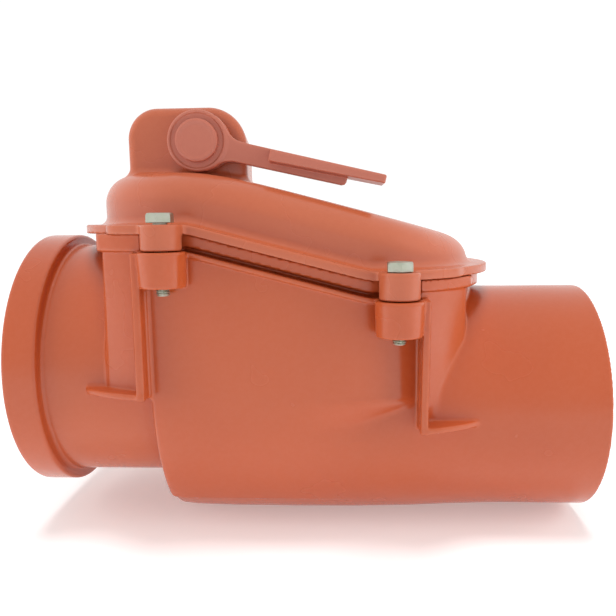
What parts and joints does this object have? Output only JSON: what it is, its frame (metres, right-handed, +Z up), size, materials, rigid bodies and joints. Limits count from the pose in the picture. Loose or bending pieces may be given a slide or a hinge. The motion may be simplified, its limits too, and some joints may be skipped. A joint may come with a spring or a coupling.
{
  "type": "backwater valve",
  "caption": "Sewer backwater valve with inlet socket, outlet spigot, sloping bolted cover, hinged flap and a hand lever that locks the flap shut.",
  "frame": {"origin": "centre of the outlet spigot end face, on the outlet pipe axis", "axes": "+X out of the spigot in the flow direction, +Z up through the cover, lever on the -Y side"},
  "size_m": [0.2661, 0.164, 0.1979],
  "materials": {
    "body_plastic": "moulded terracotta PVC, satin",
    "cover_plastic": "moulded terracotta PVC, satin",
    "lever_plastic": "moulded terracotta PVC, satin",
    "rubber": "black rubber, matt",
    "light_plastic": "off-white plastic, matt",
    "flap_plastic": "off-white ribbed plastic, matt",
    "steel": "pale zinc-plated or stainless steel, satin"
  },
  "bodies": {
    "housing": {"valve_body": "body_plastic", "valve_cover": "cover_plastic", "cover_gasket": "rubber", "socket_seal_ring": "rubber", "spindle_bush_front": "light_plastic", "spindle_bush_rear": "light_plastic", "flap_hinge_pin": "steel", "cover_bolt_1": "steel", "cover_bolt_2": "steel", "cover_bolt_3": "steel", "cover_bolt_4": "steel", "bolt_nut_1": "steel", "bolt_nut_2": "steel", "bolt_nut_3": "steel", "bolt_nut_4": "steel", "hinge_pin_clip_1": "steel", "hinge_pin_clip_2": "steel"},
    "lever_assembly": {"lever": "lever_plastic", "spindle_cap": "lever_plastic", "lever_screw": "steel", "spindle": "steel", "spindle_circlip": "steel", "spindle_o_ring_1": "rubber", "spindle_o_ring_2": "rubber", "lock_cam": "light_plastic", "cam_cross_pin": "steel"},
    "flap_assembly": {"flap_plate": "flap_plastic", "flap_seal": "rubber", "seal_keeper_ring": "steel", "flap_hinge_bush_1": "light_plastic", "flap_hinge_bush_2": "light_plastic", "keeper_screw_1": "steel", "keeper_screw_2": "steel", "keeper_screw_3": "steel", "keeper_screw_4": "steel", "keeper_screw_5": "steel", "keeper_screw_6": "steel"}
  },
  "joints": [
    {"name": "lever_turn", "type": "hinge", "parent": "housing", "child": "lever_assembly", "pos_m": [-0.1808, 0, 0.1244], "axis": [0, 1, 0], "range_deg": [-90, 0]},
    {"name": "flap_swing", "type": "hinge", "parent": "housing", "child": "flap_assembly", "pos_m": [-0.177, 0, 0.08], "axis": [0, -1, 0], "range_deg": [0, 65]}
  ]
}
